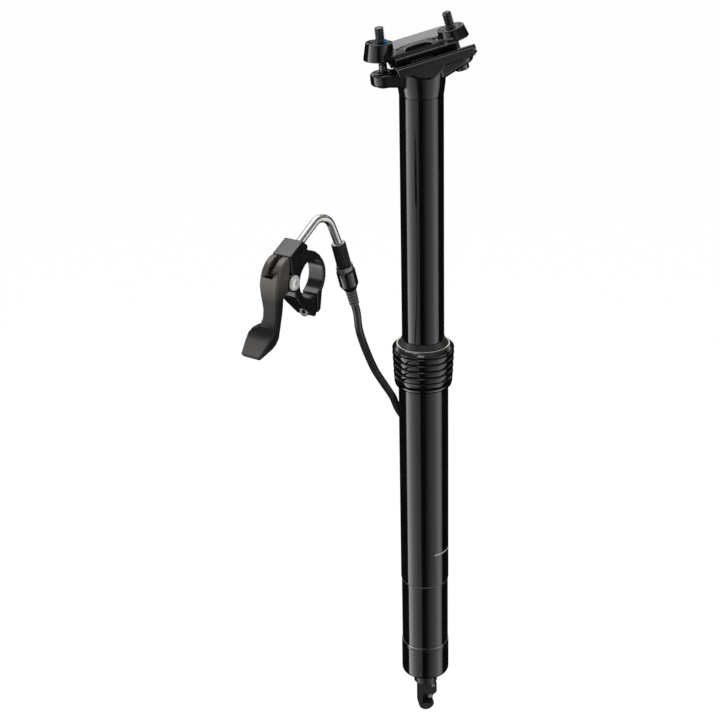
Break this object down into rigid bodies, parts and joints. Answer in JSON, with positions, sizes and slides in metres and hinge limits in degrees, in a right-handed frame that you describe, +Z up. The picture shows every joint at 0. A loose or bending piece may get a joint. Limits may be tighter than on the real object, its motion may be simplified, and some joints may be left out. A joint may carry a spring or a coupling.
{
  "type": "dropper seatpost",
  "caption": "Dropper seatpost with a sliding tube, a bolted saddle clamp, a foot actuator, and a handlebar thumb remote joined by a coiled cable housing.",
  "frame": {"origin": "On the post's axis, in the plane of the collar's underside, where the seat tube's top edge meets it", "axes": "+Z up the post towards the saddle, -X towards the front of the bicycle, +Y to the right of a rider who faces the front"},
  "size_m": [0.15, 0.1735, 0.4731],
  "materials": {
    "black_anodised": "gloss black anodised tube",
    "satin_black": "satin black anodised, cold forged",
    "grey_anodised": "fine blasted dark grey anodised",
    "bright_aluminium": "plain turned aluminium",
    "polished_steel": "polished stainless steel",
    "steel": "plain machined steel",
    "black_steel": "black oxide steel",
    "brass": "plain turned brass",
    "bush_polymer": "sliding bearing polymer",
    "rubber": "moulded rubber",
    "black_plastic": "moulded black plastic",
    "housing_black": "smooth extruded cable housing",
    "pale_ring": "pale inlaid ring"
  },
  "bodies": {
    "post_body": {"outer_tube": "black_anodised", "collar": "black_anodised", "wiper_seal": "rubber", "accent_ring": "pale_ring", "upper_bushing": "bush_polymer", "bottom_cap": "black_anodised", "cartridge_rod": "steel", "cartridge_piston": "brass", "actuator_bracket": "satin_black", "actuator_pivot_pin": "steel", "remote_clamp": "grey_anodised", "clamp_screw": "steel", "pivot_screw": "steel", "cable_noodle": "polished_steel", "adjuster_ring": "polished_steel", "adjuster_body": "satin_black", "cable_boot": "rubber", "housing_lead": "housing_black", "housing_hank": "housing_black", "hank_tie": "black_plastic", "end_ferrule": "bright_aluminium", "inner_cable": "steel", "cable_nipple": "steel"},
    "sliding_post": {"stanchion": "black_anodised", "post_head": "satin_black", "lower_bushing": "bush_polymer", "alignment_keys": "brass", "cartridge_cylinder": "bright_aluminium", "cartridge_gland": "black_plastic", "clamp_bolts": "black_steel", "bolt_washers": "steel"},
    "saddle_clamp": {"lower_cradle": "satin_black", "upper_cradle": "satin_black", "barrel_nuts": "black_steel"},
    "remote_lever": {"thumb_lever": "grey_anodised", "pivot_bush": "brass", "lever_cable_barrel": "steel"},
    "adjuster": {"adjuster_barrel": "satin_black"},
    "foot_lever": {"actuator_lever": "satin_black", "cable_anchor": "steel"},
    "valve": {"valve_pin": "steel"}
  },
  "joints": [
    {"name": "stanchion_slide", "type": "slide", "parent": "post_body", "child": "sliding_post", "axis": [0, 0, 1], "range_m": [-0.15, 0]},
    {"name": "saddle_tilt", "type": "hinge", "parent": "sliding_post", "child": "saddle_clamp", "pos_m": [0, 0, 0.209], "axis": [0, 1, 0], "range_deg": [-4, 4]},
    {"name": "thumb_lever_pivot", "type": "hinge", "parent": "post_body", "child": "remote_lever", "pos_m": [-0.09127, -0.09487, 0.111], "axis": [0.7431, -0.6691, 0], "range_deg": [0, 18], "stiffness_Nm_per_rad": 0.5, "springref_deg": -17.19},
    {"name": "adjuster_turn", "type": "hinge", "parent": "post_body", "child": "adjuster", "pos_m": [-0.0603, -0.07391, 0.1229], "axis": [0.2217, 0.1199, -0.9677], "continuous": true},
    {"name": "foot_lever_pivot", "type": "hinge", "parent": "post_body", "child": "foot_lever", "pos_m": [0.0046, 0, -0.2238], "axis": [0, 1, 0], "range_deg": [0, 15]},
    {"name": "valve_slide", "type": "slide", "parent": "post_body", "child": "valve", "axis": [0, 0, 1], "range_m": [0, 0.0013]}
  ],
  "couplings": [
    {"joint": "foot_lever_pivot", "follows": "thumb_lever_pivot", "ratio": 0.8333},
    {"joint": "valve_slide", "follows": "thumb_lever_pivot", "m_per_rad": 0.0041}
  ]
}
